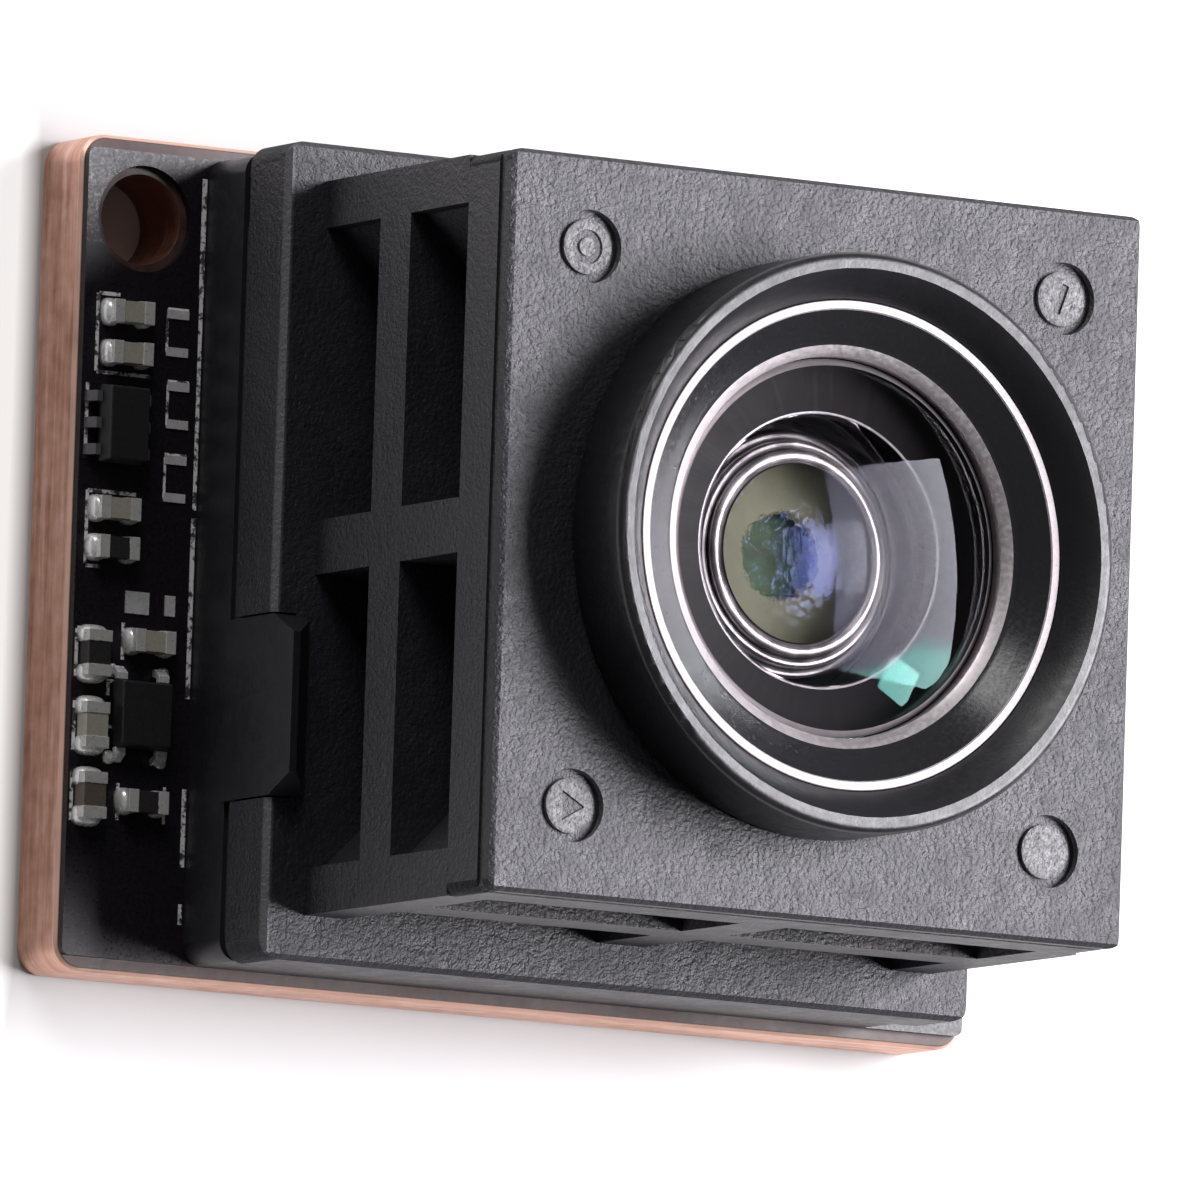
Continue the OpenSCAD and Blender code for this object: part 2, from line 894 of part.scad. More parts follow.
// A gull-wing lead [reach, rise, width] that starts at the side of a package at X = 0
module lead(size) {
    reach = size[0];
    rise = size[1];
    bend_x = reach / 2;
    translate([0, size[2] / 2, 0])
        rotate([90, 0, 0])
            linear_extrude(size[2])
                polygon([
                    [0, rise],
                    [0, rise + lead_t],
                    [bend_x, rise + lead_t],
                    [bend_x + lead_t, lead_t],
                    [reach, lead_t],
                    [reach, 0],
                    [bend_x, 0],
                    [bend_x - lead_t / 2, rise]
                ]);
}

// Outline of a moulded body's end, widest where the leads come out at line_z
function sloped_side(width, height, line_z) = [
    [draft - width / 2, standoff],
    [width / 2 - draft, standoff],
    [width / 2, line_z],
    [width / 2 - draft, height],
    [draft - width / 2, height],
    [-width / 2, line_z]
];

// A moulded body whose sides slope away from the line where the leads come out
module moulded_body(size, lead_rise) {
    line_z = lead_rise + lead_t / 2;
    intersection() {
        rotate([90, 0, 0])
            translate([0, 0, -size[1] / 2])
                linear_extrude(size[1])
                    polygon(sloped_side(size[0], size[2], line_z));
        rotate([90, 0, 90])
            translate([0, 0, -size[0] / 2])
                linear_extrude(size[0])
                    polygon(sloped_side(size[1], size[2], line_z));
    }
}

module regulator_package() {
    color("#202022")
    on_board(REGULATOR[0], REGULATOR[1])
        moulded_body(REGULATOR_BODY, REGULATOR_LEAD[1]);
}

module regulator_leads() {
    color("silver")
    on_board(REGULATOR[0], REGULATOR[1])
        for (side = [0, 180], i = [-1:1])
            rotate(side)
                translate([REGULATOR_BODY[0] / 2, i * regulator_lead_step, 0])
                    lead(REGULATOR_LEAD);
}

module driver_package() {
    color("#202022")
    on_board(DRIVER[0], DRIVER[1])
        moulded_body(DRIVER_BODY, DRIVER_LEAD[1]);
}

module driver_leads() {
    color("silver")
    on_board(DRIVER[0], DRIVER[1])
        for (side = [90, 270], i = [-0.5, 0.5])
            rotate(side)
                translate([DRIVER_BODY[1] / 2, i * driver_lead_step, 0])
                    lead(DRIVER_LEAD);
}

copper_base_plate();
circuit_board();
solder_pads();
rear_frame();
corner_screws();
sealing_gasket();
lens_holder();
lens_barrel();
front_ring();
front_element();
front_spacer();
second_element();
aperture_stop();
third_element();
rear_spacer();
rear_element();
rear_ring();
infrared_filter();
sensor_package();
sensor_die();
sensor_cover_glass();
board_connector();
connector_contacts();
regulator_package();
regulator_leads();
driver_package();
driver_leads();
for (i = [0:len(CHIPS) - 1])
    chip_capacitor(CHIPS[i]);
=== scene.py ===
"""The looks of the board camera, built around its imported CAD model."""
import math
import random

import bmesh
import bpy
from mathutils import Matrix, Vector


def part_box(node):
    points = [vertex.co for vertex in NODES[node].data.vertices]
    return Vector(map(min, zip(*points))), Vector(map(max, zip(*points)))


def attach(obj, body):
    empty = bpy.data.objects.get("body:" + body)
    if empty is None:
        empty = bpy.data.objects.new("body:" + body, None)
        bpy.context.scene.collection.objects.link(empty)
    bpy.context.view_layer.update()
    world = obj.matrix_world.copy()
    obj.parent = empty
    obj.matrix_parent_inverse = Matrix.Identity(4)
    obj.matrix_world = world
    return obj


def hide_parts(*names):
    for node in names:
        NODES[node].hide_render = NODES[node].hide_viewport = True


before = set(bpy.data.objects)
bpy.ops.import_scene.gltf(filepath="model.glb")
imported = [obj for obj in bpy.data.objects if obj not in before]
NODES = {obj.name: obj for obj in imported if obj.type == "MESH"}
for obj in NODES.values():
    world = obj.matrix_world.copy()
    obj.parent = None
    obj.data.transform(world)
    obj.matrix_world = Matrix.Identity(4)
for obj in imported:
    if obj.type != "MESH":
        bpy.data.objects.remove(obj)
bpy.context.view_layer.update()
MM = 0.001

# ---------------------------------------------------------------- places, from the CAD model's parts and given numbers

_, plate_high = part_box("copper_base_plate")
board_low, board_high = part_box("circuit_board")
holder_low, holder_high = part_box("lens_holder")
barrel_low, barrel_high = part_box("lens_barrel")
AXIS = ((barrel_low.x + barrel_high.x) / 2 / MM, (barrel_low.y + barrel_high.y) / 2 / MM)
BOARD_Z = board_high.z / MM
BOARD_LEFT = board_low.x / MM
BOARD_TOP = board_high.y / MM
FRONT_Z = holder_high.z / MM
PLATE_Z = plate_high.z / MM
STEP_Z = 6.05        # front of the holder's flange
HOLE = (-11.24, 8.2)  # middle of the fixing hole
HOLE_RIM = (1.16, 1.3)  # the hole's wall ends between these radii
RING_TOP_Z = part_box("front_ring")[1].z / MM
RING_SEAT_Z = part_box("front_ring")[0].z / MM
MARK_X = 6.72        # distance of the corner marks from the block's middle, along both axes
MARK_Y = (board_low.y + board_high.y) / 2 / MM + 0.1
CHIP_END = 0.28      # length of a capacitor's plated end
PRINT_T = 0.012      # thickness of the board's printing
PRINT_W = 0.09       # width of its lines
GLASS_SEAT = 1.3     # from the ring's seat back to the front lens's back
SPACER_T = 0.5       # thickness of the spacer behind the front lens
SECOND_GAP = 0.6     # from the spacer to the second lens's front
SECOND_T = 1.2       # thickness of the second lens at its edge
STOP_T = 0.15        # thickness of the aperture stop

FLOOR_SIZE = 1.2     # in metres
FLOOR_GAP = 0.00002  # in metres, below the part
FLOOR_LIFT = 0.7     # how much paler the camera sees the table
WORLD_LIGHT = 0.07   # strength of the world as light, and as seen in glossy surfaces
WORLD_GLOSS = 0.15


# ---------------------------------------------------------------- camera

CAMERA_LENS = 741.3
CAMERA_PLACE = Vector((-310.36, -69.31, 515.04))
CAMERA_RIGHT = Vector((0.85174196, 0.03178321, 0.52299661))
CAMERA_UP = Vector((-0.08697851, 0.99288621, 0.08131245))

def make_camera():
    """The photograph's long lens, which looks at the part from its lower left."""
    data = bpy.data.cameras.new("camera")
    data.sensor_width = 36
    data.lens = CAMERA_LENS
    data.clip_start = 0.05
    data.clip_end = 20
    camera = bpy.data.objects.new("camera", data)
    bpy.context.scene.collection.objects.link(camera)
    back = CAMERA_RIGHT.cross(CAMERA_UP)
    turn = Matrix((CAMERA_RIGHT, CAMERA_UP, back)).transposed().to_4x4()
    camera.matrix_world = Matrix.Translation(CAMERA_PLACE * MM) @ turn
    bpy.context.scene.camera = camera


# ---------------------------------------------------------------- materials

class Shader:
    """A material with one Principled shader, and short ways to add nodes to it."""

    def __init__(self, name, **sockets):
        self.material = bpy.data.materials.new(name)
        self.material.use_nodes = True
        self.tree = self.material.node_tree
        self.shader = self.tree.nodes["Principled BSDF"]
        for socket, value in sockets.items():
            self.set(socket.replace("_", " "), value)

    def set(self, socket, value):
        """Sets a socket of the Principled shader, or links it to another node's output."""
        target = self.shader.inputs[socket]
        if isinstance(value, bpy.types.NodeSocket):
            self.tree.links.new(value, target)
        elif isinstance(value, tuple) and len(value) == 3:
            target.default_value = (*value, 1)
        else:
            target.default_value = value

    def node(self, kind, **settings):
        made = self.tree.nodes.new(kind)
        for name, value in settings.items():
            setattr(made, name, value)
        return made

    def link(self, output, target):
        self.tree.links.new(output, target)

    def place(self, stretch=(1, 1, 1)):
        """Coordinates in millimetres of the part's frame, stretched."""
        coordinates = self.node("ShaderNodeTexCoord")
        scale = self.node("ShaderNodeMapping")
        scale.inputs["Scale"].default_value = [s / MM for s in stretch]
        self.link(coordinates.outputs["Object"], scale.inputs["Vector"])
        return scale.outputs["Vector"]

    def noise(self, size, detail=2, stretch=(1, 1, 1), roughness=0.5):
        """Noise whose lumps are about size millimetres wide."""
        made = self.node("ShaderNodeTexNoise")
        made.inputs["Scale"].default_value = 1 / size
        made.inputs["Detail"].default_value = detail
        made.inputs["Roughness"].default_value = roughness
        self.link(self.place(stretch), made.inputs["Vector"])
        return made.outputs["Fac"]

    def ramp(self, factor, *stops):
        """Colours or grey levels along a factor: (position, colour) pairs."""
        made = self.node("ShaderNodeValToRGB")
        elements = made.color_ramp.elements
        while len(elements) < len(stops):
            elements.new(0.5)
        for element, (position, colour) in zip(elements, stops):
            element.position = position
            levels = colour if isinstance(colour, tuple) else (colour, colour, colour)
            element.color = (*levels, 1)
        self.link(factor, made.inputs["Fac"])
        return made.outputs["Color"]

    def range(self, factor, low, high, start=0.0, end=1.0):
        """Maps a factor from start..end to low..high."""
        made = self.node("ShaderNodeMapRange")
        made.inputs["From Min"].default_value = start
        made.inputs["From Max"].default_value = end
        made.inputs["To Min"].default_value = low
        made.inputs["To Max"].default_value = high
        self.link(factor, made.inputs["Value"])
        return made.outputs["Result"]

    def mix(self, factor, a, b):
        """Mixes two colours; each is a tuple or an output."""
        made = self.node("ShaderNodeMix", data_type="RGBA")
        self.link(factor, made.inputs[0])
        for value, target in ((a, made.inputs[6]), (b, made.inputs[7])):
            if isinstance(value, tuple):
                target.default_value = (*value, 1)
            else:
                self.link(value, target)
        return made.outputs[2]

    def math(self, operation, a, b=0.0):
        made = self.node("ShaderNodeMath", operation=operation)
        for value, target in zip((a, b), made.inputs):
            if isinstance(value, bpy.types.NodeSocket):
                self.link(value, target)
            else:
                target.default_value = value
        return made.outputs[0]

    def bump(self, height, depth, strength=1.0, below=None):
        """Bump whose full height is depth millimetres, over an earlier bump."""
        made = self.node("ShaderNodeBump")
        made.inputs["Strength"].default_value = strength
        made.inputs["Distance"].default_value = depth * MM
        self.link(height, made.inputs["Height"])
        if below is not None:
            self.link(below, made.inputs["Normal"])
        self.set("Normal", made.outputs["Normal"])
        return made.outputs["Normal"]

    def axes(self):
        """The three coordinates of the place, in millimetres."""
        made = self.node("ShaderNodeSeparateXYZ")
        self.link(self.place(), made.inputs[0])
        return made.outputs

    def length(self, across, along):
        """Length of a vector in the plane."""
        return self.math("SQRT", self.math("ADD", self.math("MULTIPLY", across, across),
                                           self.math("MULTIPLY", along, along)))

    def radius(self):
        """Distance from the lens axis, in millimetres."""
        x, y, _ = self.axes()
        return self.length(self.math("SUBTRACT", x, AXIS[0]), self.math("SUBTRACT", y, AXIS[1]))

    def lets_lamps_through(self):
        """Glass that doesn't stop the lamps' light on what is behind it."""
        clear = self.node("ShaderNodeBsdfTransparent")
        path = self.node("ShaderNodeLightPath")
        mixed = self.node("ShaderNodeMixShader")
        self.link(path.outputs["Is Shadow Ray"], mixed.inputs[0])
        self.link(self.shader.outputs[0], mixed.inputs[1])
        self.link(clear.outputs[0], mixed.inputs[2])
        self.link(mixed.outputs[0], self.tree.nodes["Material Output"].inputs["Surface"])


def moulded_plastic(name, dark, light, grain, depth, roughness):
    """Black moulded plastic with a spark-eroded grain and a cloudy gloss."""
    look = Shader(name)
    fine = look.noise(grain, 3, roughness=0.65)
    lumps = look.noise(grain * 4, 3, roughness=0.65)
    cloud = look.noise(2.6, 2)
    tone = look.math("ADD", look.math("MULTIPLY", fine, 0.7), look.math("MULTIPLY", cloud, 0.3))
    look.set("Base Color", look.mix(tone, dark, light))
    gloss = look.math("ADD", look.math("MULTIPLY", lumps, 0.6), look.math("MULTIPLY", cloud, 0.4))
    look.set("Roughness", look.range(gloss, roughness - 0.07, roughness + 0.08, 0.35, 0.65))
    look.bump(fine, depth, below=look.bump(lumps, depth * 0.8))
    return look


def holder_plastic():
    """The holder's plastic, worn pale on its corner marks, with a painted highlight along the
    flange's left front edge.
    """
    look = moulded_plastic("holder_plastic", (0.01, 0.01, 0.014), (0.03, 0.029, 0.036),
                           grain=0.12, depth=0.035, roughness=0.44)
    base = look.shader.inputs["Base Color"].links[0].from_socket
    x, y, z = look.axes()
    across = look.math("SUBTRACT", look.math("ABSOLUTE", look.math("SUBTRACT", x, AXIS[0])), MARK_X)
    along = look.math("SUBTRACT", look.math("ABSOLUTE", look.math("SUBTRACT", y, MARK_Y)), MARK_X)
    away = look.length(across, along)
    disc = look.math("MULTIPLY", look.range(away, 1, 0, 0.55, 0.68),
                     look.range(z, 0, 1, FRONT_Z - 0.16, FRONT_Z - 0.12))
    # Painted highlight: a pale grey band along the flange's left front edge, standing in for the
    # lit edge.
    left = holder_low.x / MM
    painted_edge_highlight = look.math("MULTIPLY", look.range(x, 1, 0, left + 0.14, left + 0.22),
                       look.range(z, 0, 1, STEP_Z - 0.2, STEP_Z - 0.1))
    base = look.mix(painted_edge_highlight, base, (0.1, 0.1, 0.11))
    speckle = look.range(look.noise(0.16, 3, roughness=0.7), 0.15, 1, 0.4, 0.62)
    look.set("Base Color", look.mix(look.math("MULTIPLY", disc, speckle), base, (0.2, 0.195, 0.2)))
    return look.material


def copper():
    """Sawn copper: streaks along the sides, a painted highlight along the front edge, a dark brown
    front face and a tarnished hole wall.
    """
    look = Shader("bare_copper")
    rolled = look.noise(0.22, 4, stretch=(0.06, 0.06, 1), roughness=0.6)
    spots = look.noise(0.5, 3)
    tone = look.math("ADD", look.math("MULTIPLY", rolled, 0.65), look.math("MULTIPLY", spots, 0.35))
    side = look.ramp(tone, (0.3, (0.5, 0.26, 0.18)), (0.5, (0.78, 0.47, 0.36)),
                     (0.66, (0.95, 0.66, 0.57)))
    x, y, z = look.axes()
    # Painted highlight: a pale copper band just below the front face, standing in for the lit front
    # edge.
    edge = look.range(z, 0, 1, PLATE_Z - 0.16, PLATE_Z - 0.07)
    painted_edge_highlight = look.mix(edge, side, (0.95, 0.62, 0.5))
    # A dark brown, non-metallic colour for the whole front face.
    dark_front_colour = look.ramp(spots, (0.35, (0.03, 0.012, 0.01)), (0.6, (0.075, 0.035, 0.028)))
    across, along = look.math("SUBTRACT", x, HOLE[0]), look.math("SUBTRACT", y, HOLE[1])
    away = look.length(across, along)
    hole = look.range(away, 1, 0, *HOLE_RIM)
    front = look.range(z, 0, 1, PLATE_Z - 0.03, PLATE_Z - 0.005)
    painted_edge_highlight = look.mix(look.math("MULTIPLY", hole, 0.8), painted_edge_highlight, (0.22, 0.065, 0.04))
    look.set("Base Color", look.mix(front, painted_edge_highlight, dark_front_colour))
    look.set("Metallic", look.math("SUBTRACT", 1.0, front))
    look.set("Roughness", look.range(tone, 0.38, 0.62, 0.3, 0.7))
    look.bump(rolled, 0.012, below=look.bump(spots, 0.01))
    return look.material


def board_mask():
    """Glossy black solder mask with the faint relief of the tracks under it."""
    look = Shader("board_mask", Specular_IOR_Level=0.35)
    fine = look.noise(0.08, 3)
    tracks = look.ramp(look.noise(0.5, 1, stretch=(1, 0.3, 1)), (0.46, 0.0), (0.52, 1.0))
    look.set("Base Color", look.mix(fine, (0.005, 0.004, 0.006), (0.016, 0.012, 0.016)))
    look.set("Roughness", look.range(fine, 0.25, 0.42, 0.3, 0.7))
    look.bump(fine, 0.002, below=look.bump(tracks, 0.001))
    return look.material


def plain(name, colour, roughness, metallic=0.0, grain=0.1, depth=0.003, spread=0.15, **sockets):
    """A plain finish with a little variation of colour, gloss and surface."""
    look = Shader(name, Metallic=metallic, **sockets)
    fine = look.noise(grain, 3)
    low = tuple(c * (1 - spread) for c in colour)
    high = tuple(min(1, c * (1 + spread)) for c in colour)
    look.set("Base Color", look.mix(fine, low, high))
    look.set("Roughness", look.range(fine, roughness - 0.06, roughness + 0.06, 0.3, 0.7))
    look.bump(fine, depth)
    return look.material


def chip_finish(name, node, middle):
    """A chip capacitor: a ceramic body between two bright plated ends."""
    low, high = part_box(node)
    size = high - low
    axis = 0 if size.x > size.y else 1
    centre = (low[axis] + high[axis]) / 2 / MM
    half = size[axis] / 2 / MM
    look = Shader(name)
    along = look.math("ABSOLUTE", look.math("SUBTRACT", look.axes()[axis], centre))
    ragged = look.math("ADD", along, look.range(look.noise(0.1, 3), -0.02, 0.02))
    end = look.range(ragged, 0, 1, half - CHIP_END - 0.01, half - CHIP_END + 0.01)
    fine = look.noise(0.08, 3)
    body = look.mix(fine, tuple(c * 0.8 for c in middle), tuple(c * 1.2 for c in middle))
    plating = look.mix(fine, (0.75, 0.74, 0.72), (0.95, 0.94, 0.92))
    look.set("Base Color", look.mix(end, body, plating))
    look.set("Metallic", look.math("MULTIPLY", end, 0.5))
    look.set("Roughness", look.range(fine, 0.26, 0.44, 0.3, 0.7))
    look.bump(fine, 0.006)
    return look.material


def silk_print():
    """Pale printing on the board, worn away in patches."""
    look = Shader("silk_print", Roughness=0.6)
    worn = look.range(look.noise(0.22, 3, roughness=0.7), 0, 1, 0.42, 0.52)
    look.set("Base Color", look.mix(worn, (0.05, 0.045, 0.05), (0.82, 0.8, 0.8)))
    look.bump(worn, 0.004)
    return look.material


def coated_glass(name, tint, coating, ior=1.6, smear_size=1.2, smear_depth=0.0006,
                 rim_coating=None):
    """Lens glass with a faint coloured reflection, which can differ in a patch near the rim."""
    look = Shader(name, Roughness=0.02, Transmission_Weight=1.0, IOR=ior, Specular_Tint=coating)
    smear = look.noise(smear_size, 2)
    look.set("Roughness", look.range(smear, 0.0, 0.035, 0.4, 0.7))
    look.set("Base Color", look.mix(smear, tint, tuple(min(1, c * 1.06) for c in tint)))
    if rim_coating:
        patch = look.math("MULTIPLY", look.range(look.radius(), 0, 1, 2.9, 3.2),
                          look.range(look.axes()[1], 1, 0, AXIS[1] - 2.4, AXIS[1] - 1.9))
        look.set("Specular Tint", look.mix(patch, coating, rim_coating))
    look.bump(smear, smear_depth)
    look.lets_lamps_through()
    return look.material


# ---------------------------------------------------------------- stage and light

def make_stage():
    """A pale table, which the camera sees a little paler than its light, except near the part,
    where that lift fades out into a painted shadow; and the world.
    """
    floor_mesh = bpy.data.meshes.new("floor")
    half = FLOOR_SIZE / 2
    corners = [(-half, -half, 0), (half, -half, 0), (half, half, 0), (-half, half, 0)]
    floor_mesh.from_pydata(corners, [], [(0, 1, 2, 3)])
    floor = bpy.data.objects.new("floor", floor_mesh)
    floor.location.z = -FLOOR_GAP
    bpy.context.scene.collection.objects.link(floor)
    look = Shader("pale_floor", Roughness=0.9)
    look.set("Base Color", (0.62, 0.612, 0.608))
    path = look.node("ShaderNodeLightPath")
    bent = look.math("ADD", path.outputs["Is Glossy Ray"], path.outputs["Is Transmission Ray"])
    seen = look.math("ADD", path.outputs["Is Camera Ray"], look.math("MULTIPLY", bent, 0.15))
    look.set("Emission Color", (1.0, 0.985, 0.98))
    # Painted shadow: the camera's lift fades out near the part, over 0.6 mm beside its sides and
    # 4.5 mm beyond its ends, so the table looks darker there.
    x, y, _ = look.axes()
    side, end = plate_high.x / MM, plate_high.y / MM
    beside = look.range(look.math("ABSOLUTE", x), 0, 1, side, side + 0.6)
    below = look.range(look.math("ABSOLUTE", y), 0, 1, end, end + 4.5)
    away = look.math("MAXIMUM", beside, below)
    look.set("Emission Strength",
             look.math("MULTIPLY", look.math("MULTIPLY", seen, away), FLOOR_LIFT))
    floor_mesh.materials.append(look.material)

    world = bpy.data.worlds.new("studio")
    world.use_nodes = True
    bpy.context.scene.world = world
    tree = world.node_tree
    background = tree.nodes["Background"]
    path = tree.nodes.new("ShaderNodeLightPath")
    glossy = tree.nodes.new("ShaderNodeMapRange")
    glossy.inputs["To Min"].default_value = WORLD_LIGHT
    glossy.inputs["To Max"].default_value = WORLD_GLOSS
    tree.links.new(path.outputs["Is Glossy Ray"], glossy.inputs["Value"])
    camera = tree.nodes.new("ShaderNodeMapRange")
    camera.inputs["To Max"].default_value = 1.0
    tree.links.new(path.outputs["Is Camera Ray"], camera.inputs["Value"])
    tree.links.new(glossy.outputs["Result"], camera.inputs["To Min"])
    tree.links.new(camera.outputs["Result"], background.inputs["Strength"])
    background.inputs["Color"].default_value = (1, 1, 1, 1)


def area_light(name, direction, distance, size, power, colour=(1, 1, 1)):
    """A rectangular soft box that faces the part's middle from a direction; sizes in metres."""
    data = bpy.data.lights.new(name, "AREA")
    data.shape = "RECTANGLE"
    data.size, data.size_y = size
    data.energy = power
    data.color = colour
    lamp = bpy.data.objects.new(name, data)
    aim = Vector((0, 0, 0.008))
    away = Vector(direction).normalized()
    turn = away.to_track_quat("Z", "Y").to_matrix().to_4x4()
    lamp.matrix_world = Matrix.Translation(aim + away * distance) @ turn
    lamp.visible_camera = False
    bpy.context.scene.collection.objects.link(lamp)


def make_lights():
    area_light("key", (0.68, 0.06, 0.73), 0.5, (0.3, 0.26), 6.0, (0.97, 0.95, 1))
    area_light("window", (-0.42, 0.76, 0.5), 0.6, (0.22, 0.3), 1.3)
    area_light("lower_right", (0.71, -0.22, 0.67), 0.5, (0.05, 0.07), 0.3)


# ---------------------------------------------------------------- shapes

def finish_piece(mesh, name, nodes, materials):
    """Makes a piece of the part from a mesh in millimetres."""
    mesh.transform(Matrix.Scale(MM, 4))
    piece = bpy.data.objects.new(name, mesh)
    bpy.context.scene.collection.objects.link(piece)
    for material in materials:
        mesh.materials.append(material)
    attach(piece, "root")
    if nodes:
        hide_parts(*nodes)
    return piece


ON_AXIS = 1e-6       # a smaller radius counts as a point on the axis
SHARP = math.radians(28)


def lathe(name, profile, nodes, materials, steps=180):
    """Turns a closed profile of (radius, height, material index) about the lens axis.

    The index is that of the face from this point to the next.
    """
    mesh = bpy.data.meshes.new(name)
    points, faces, indices = [], [], []
    rows = []
    for radius, height, _ in profile:
        if radius < ON_AXIS:
            rows.append([len(points)])
            points.append((AXIS[0], AXIS[1], height))
            continue
        rows.append(list(range(len(points), len(points) + steps)))
        for step in range(steps):
            angle = 2 * math.pi * step / steps
            points.append((AXIS[0] + radius * math.cos(angle),
                           AXIS[1] + radius * math.sin(angle), height))
    for number, row in enumerate(rows):
        after = rows[(number + 1) % len(rows)]
        if len(row) == 1 and len(after) == 1:
            continue
        for step in range(steps):
            corners = [row[step % len(row)], row[(step + 1) % len(row)],
                       after[(step + 1) % len(after)], after[step % len(after)]]
            faces.append(tuple(dict.fromkeys(corners)))
            indices.append(profile[number][2])
    mesh.from_pydata(points, [], faces)
    mesh.polygons.foreach_set("material_index", indices)
    mesh.polygons.foreach_set("use_smooth", [True] * len(faces))
    made = bmesh.new()
    made.from_mesh(mesh)
    bmesh.ops.recalc_face_normals(made, faces=made.faces)
    made.to_mesh(mesh)
    made.free()
    mesh.set_sharp_from_angle(angle=SHARP)
    return finish_piece(mesh, name, nodes, materials)


def dome(radius, low, rise, count, material=0, inner=0.0):
    """Profile points of a glass face, from its edge to the axis or to an inner radius."""
    ball = (radius * radius + rise * rise) / (2 * abs(rise))
    points = []
    for number in range(count + 1):
        r = radius + (inner - radius) * number / count
        height = math.sqrt(ball * ball - r * r) - math.sqrt(ball * ball - radius * radius)
        points.append((r, low + math.copysign(height, rise), material))
    return points


def bead(radius, height, reach, rise, material, count=7):
    """Profile points of a ring with a round back, from its outer foot to its inner foot."""
    angles = [math.pi * n / count for n in range(count + 1)]
    return [(radius + reach * math.cos(angle), height + rise * math.sin(angle), material)
            for angle in angles]


def back_face(points):
    """A dome's points from the axis outwards, to close a lens; its edge point is there already."""
    return list(reversed(points))[:-1]


def blob(made, centre, half, power=0.7, rings=6, steps=20):
    """A rounded drop of solder on the board: a squarish foot that narrows to a soft top."""
    rows = []
    for ring in range(rings + 1):
        rise = math.sin(ring / rings * math.pi / 2) ** 0.9
        reach = math.cos(ring / rings * math.pi / 2) ** 0.75 if ring < rings else 0.0
        row = []
        for step in range(steps if ring < rings else 1):
            angle = 2 * math.pi * step / steps
            x, y = math.cos(angle), math.sin(angle)
            row.append(made.verts.new((
                centre[0] + half[0] * reach * math.copysign(abs(x) ** power, x),
                centre[1] + half[1] * reach * math.copysign(abs(y) ** power, y),
                centre[2] + half[2] * rise)))
        rows.append(row)
    made.faces.new(reversed(rows[0]))
    for row, after in zip(rows, rows[1:]):
        for step in range(steps):
            if len(after) == 1:
                made.faces.new((row[step], row[(step + 1) % steps], after[0]))
            else:
                made.faces.new((row[step], row[(step + 1) % steps],
                                after[(step + 1) % steps], after[step]))


def solder_fillets(material):
    """Solder round each capacitor's plated ends and at the four corners of the driver's leads, as
    rounded drops on the board.
    """
    made = bmesh.new()
    for name in NODES:
        if not name.startswith("chip_capacitor"):
            continue
        low, high = (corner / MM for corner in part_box(name))
        centre, half = (low + high) / 2, (high - low) / 2
        axis = 0 if half.x > half.y else 1
        for side in (-1, 1):
            place = [centre.x, centre.y, BOARD_Z]
            place[axis] += side * (half[axis] - 0.1 + random.uniform(-0.02, 0.02))
            reach = [half.x + 0.06, half.y + 0.06, random.uniform(0.34, 0.44)]
            reach[axis] = random.uniform(0.24, 0.28)
            blob(made, place, reach)
    low, high = (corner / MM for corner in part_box("driver_leads"))
    for x in (low.x, high.x):
        for y in (low.y + 0.11, high.y - 0.11):
            blob(made, (x, y, BOARD_Z), (0.16, 0.17, 0.1))
    mesh = bpy.data.meshes.new("solder_fillets")
    made.to_mesh(mesh)
    made.free()
    mesh.polygons.foreach_set("use_smooth", [True] * len(mesh.polygons))
    return finish_piece(mesh, "solder_fillets", (), [material])


def board_print(material):
    """The printed outlines on the board's left strip.

    Each line is (left, top, right, bottom), from the board's top left corner.
    """
    thin = PRINT_W
    lines = [
        (3.2, 0.5, 3.33, 3.4), (3.22, 3.4, 3.32, 8.6), (3.2, 8.8, 3.32, 13.2),
        (3.2, 15.4, 3.32, 17.3), (3.2, 18.2, 3.3, 18.7),
        (0.34, 3.55, 0.34 + thin, 5.45), (0.42, 3.5, 1.0, 3.5 + thin),
        (0.4, 5.42, 1.9, 5.42 + thin), (0.12, 5.75, 0.12 + thin, 7.6),
        (0.22, 8.36, 0.22 + thin, 10.15), (0.28, 8.32, 1.62, 8.32 + thin),
        (0.28, 10.15, 0.7, 10.15 + thin), (0.06, 11.75, 0.06 + thin, 12.9),
        (0.06, 13.5, 0.06 + thin, 14.7), (0.06, 15.2, 0.06 + thin, 16.4),
        (0.12, 11.68, 0.9, 11.68 + thin), (0.98, 12.95, 0.98 + thin, 13.3),
        (0.98, 12.9, 1.25, 12.9 + thin), (1.05, 14.0, 1.3, 14.0 + thin),
        (1.35, 15.4, 1.35 + thin, 16.3), (2.66, 15.4, 2.66 + thin, 16.3),
        (1.35, 11.5, 1.35 + thin, 12.4), (2.3, 13.0, 2.3 + thin, 13.3),
    ]
    for across, down in ((2.63, 4.34), (2.7, 6.1), (2.69, 7.89)):
        lines.append((across - 0.32, down - 0.5, across - 0.25, down + 0.5))
        lines.append((across - 0.3, down - 0.62, across + 0.3, down - 0.57))
    made = bmesh.new()
    for left, top, right, bottom in lines:
        middle = Vector((BOARD_LEFT + (left + right) / 2, BOARD_TOP - (top + bottom) / 2,
                         BOARD_Z + PRINT_T / 2))
        stretch = Matrix.Diagonal((right - left, bottom - top, PRINT_T, 1))
        bmesh.ops.create_cube(made, size=1, matrix=Matrix.Translation(middle) @ stretch)
    mesh = bpy.data.meshes.new("board_print")
    made.to_mesh(mesh)
    made.free()
    return finish_piece(mesh, "board_print", (), [material])


# ---------------------------------------------------------------- lens

